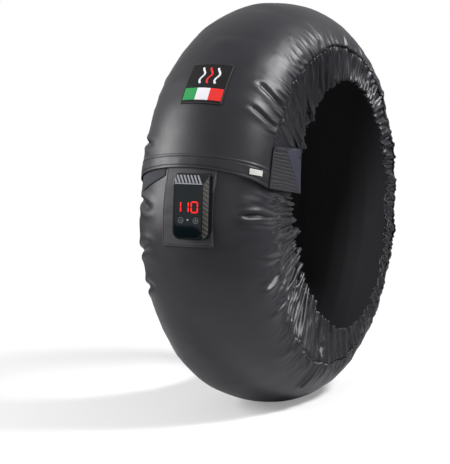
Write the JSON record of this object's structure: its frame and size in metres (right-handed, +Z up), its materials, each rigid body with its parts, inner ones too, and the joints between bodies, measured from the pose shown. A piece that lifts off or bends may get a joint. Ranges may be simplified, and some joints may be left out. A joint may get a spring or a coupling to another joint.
{
  "type": "motorcycle tire warmer",
  "caption": "Motorcycle rear tire warmer in its worn ring form: padded heated blanket with gathered side skirts, closing flap and digital controller.",
  "frame": {"origin": "on the floor at the middle of the small flat spot that the ring stands on, straight below the axle line", "axes": "+Z up, Y along the wheel's axle line with the shown side towards -Y, and the controller faces -X"},
  "size_m": [0.6892, 0.222, 0.665],
  "materials": {
    "cover_nylon": "satin woven nylon",
    "skirt_nylon": "gathered woven nylon",
    "flap_nylon": "matt woven nylon",
    "wadding": "felted",
    "carbon_ribbon": "woven carbon",
    "lining_aramid": "woven aramid",
    "elastic": "braided",
    "touch_tape": "hook and loop",
    "label_tape": "satin tape",
    "badge_cloth": "embroidered",
    "red_thread": "embroidered",
    "white_thread": "embroidered",
    "green_thread": "embroidered",
    "casing_plastic": "gloss",
    "window_plastic": "polished",
    "key_plastic": "satin",
    "lit_red": "lit",
    "lamp_grey": "clear lens",
    "board": "solder mask",
    "steel": "plated",
    "lead_rubber": "moulded"
  },
  "bodies": {
    "blanket": {"outer_cover": "cover_nylon", "insulation_pad": "wadding", "heating_element": "carbon_ribbon", "temperature_probe": "steel", "inner_lining": "lining_aramid", "near_skirt": "skirt_nylon", "near_elastic": "elastic", "near_side_tab": "flap_nylon", "far_skirt": "skirt_nylon", "far_elastic": "elastic", "far_side_tab": "flap_nylon", "near_hook_strip": "touch_tape", "far_hook_strip": "touch_tape", "near_loop_strip": "touch_tape", "far_loop_strip": "touch_tape", "control_flap": "flap_nylon", "care_label": "label_tape", "badge_backing": "badge_cloth", "badge_red_field": "red_thread", "badge_white_field": "white_thread", "badge_green_field": "green_thread", "back_shell": "casing_plastic", "front_shell": "casing_plastic", "display_window": "window_plastic", "digit_hundreds": "lit_red", "digit_tens": "lit_red", "digit_units": "lit_red", "status_light": "lamp_grey", "circuit_board": "board", "casing_screw_1": "steel", "casing_screw_2": "steel", "casing_screw_3": "steel", "casing_screw_4": "steel", "lead_grommet": "lead_rubber", "heater_lead": "lead_rubber"},
    "left_key": {"button_left": "key_plastic"},
    "right_key": {"button_right": "key_plastic"}
  },
  "joints": [
    {"name": "left_key_press", "type": "slide", "parent": "blanket", "child": "left_key", "axis": [0.9969, 0.0488, -0.061], "range_m": [0, 0.0006], "stiffness_N_per_m": 600},
    {"name": "right_key_press", "type": "slide", "parent": "blanket", "child": "right_key", "axis": [0.9969, 0.0488, -0.061], "range_m": [0, 0.0006], "stiffness_N_per_m": 600}
  ]
}
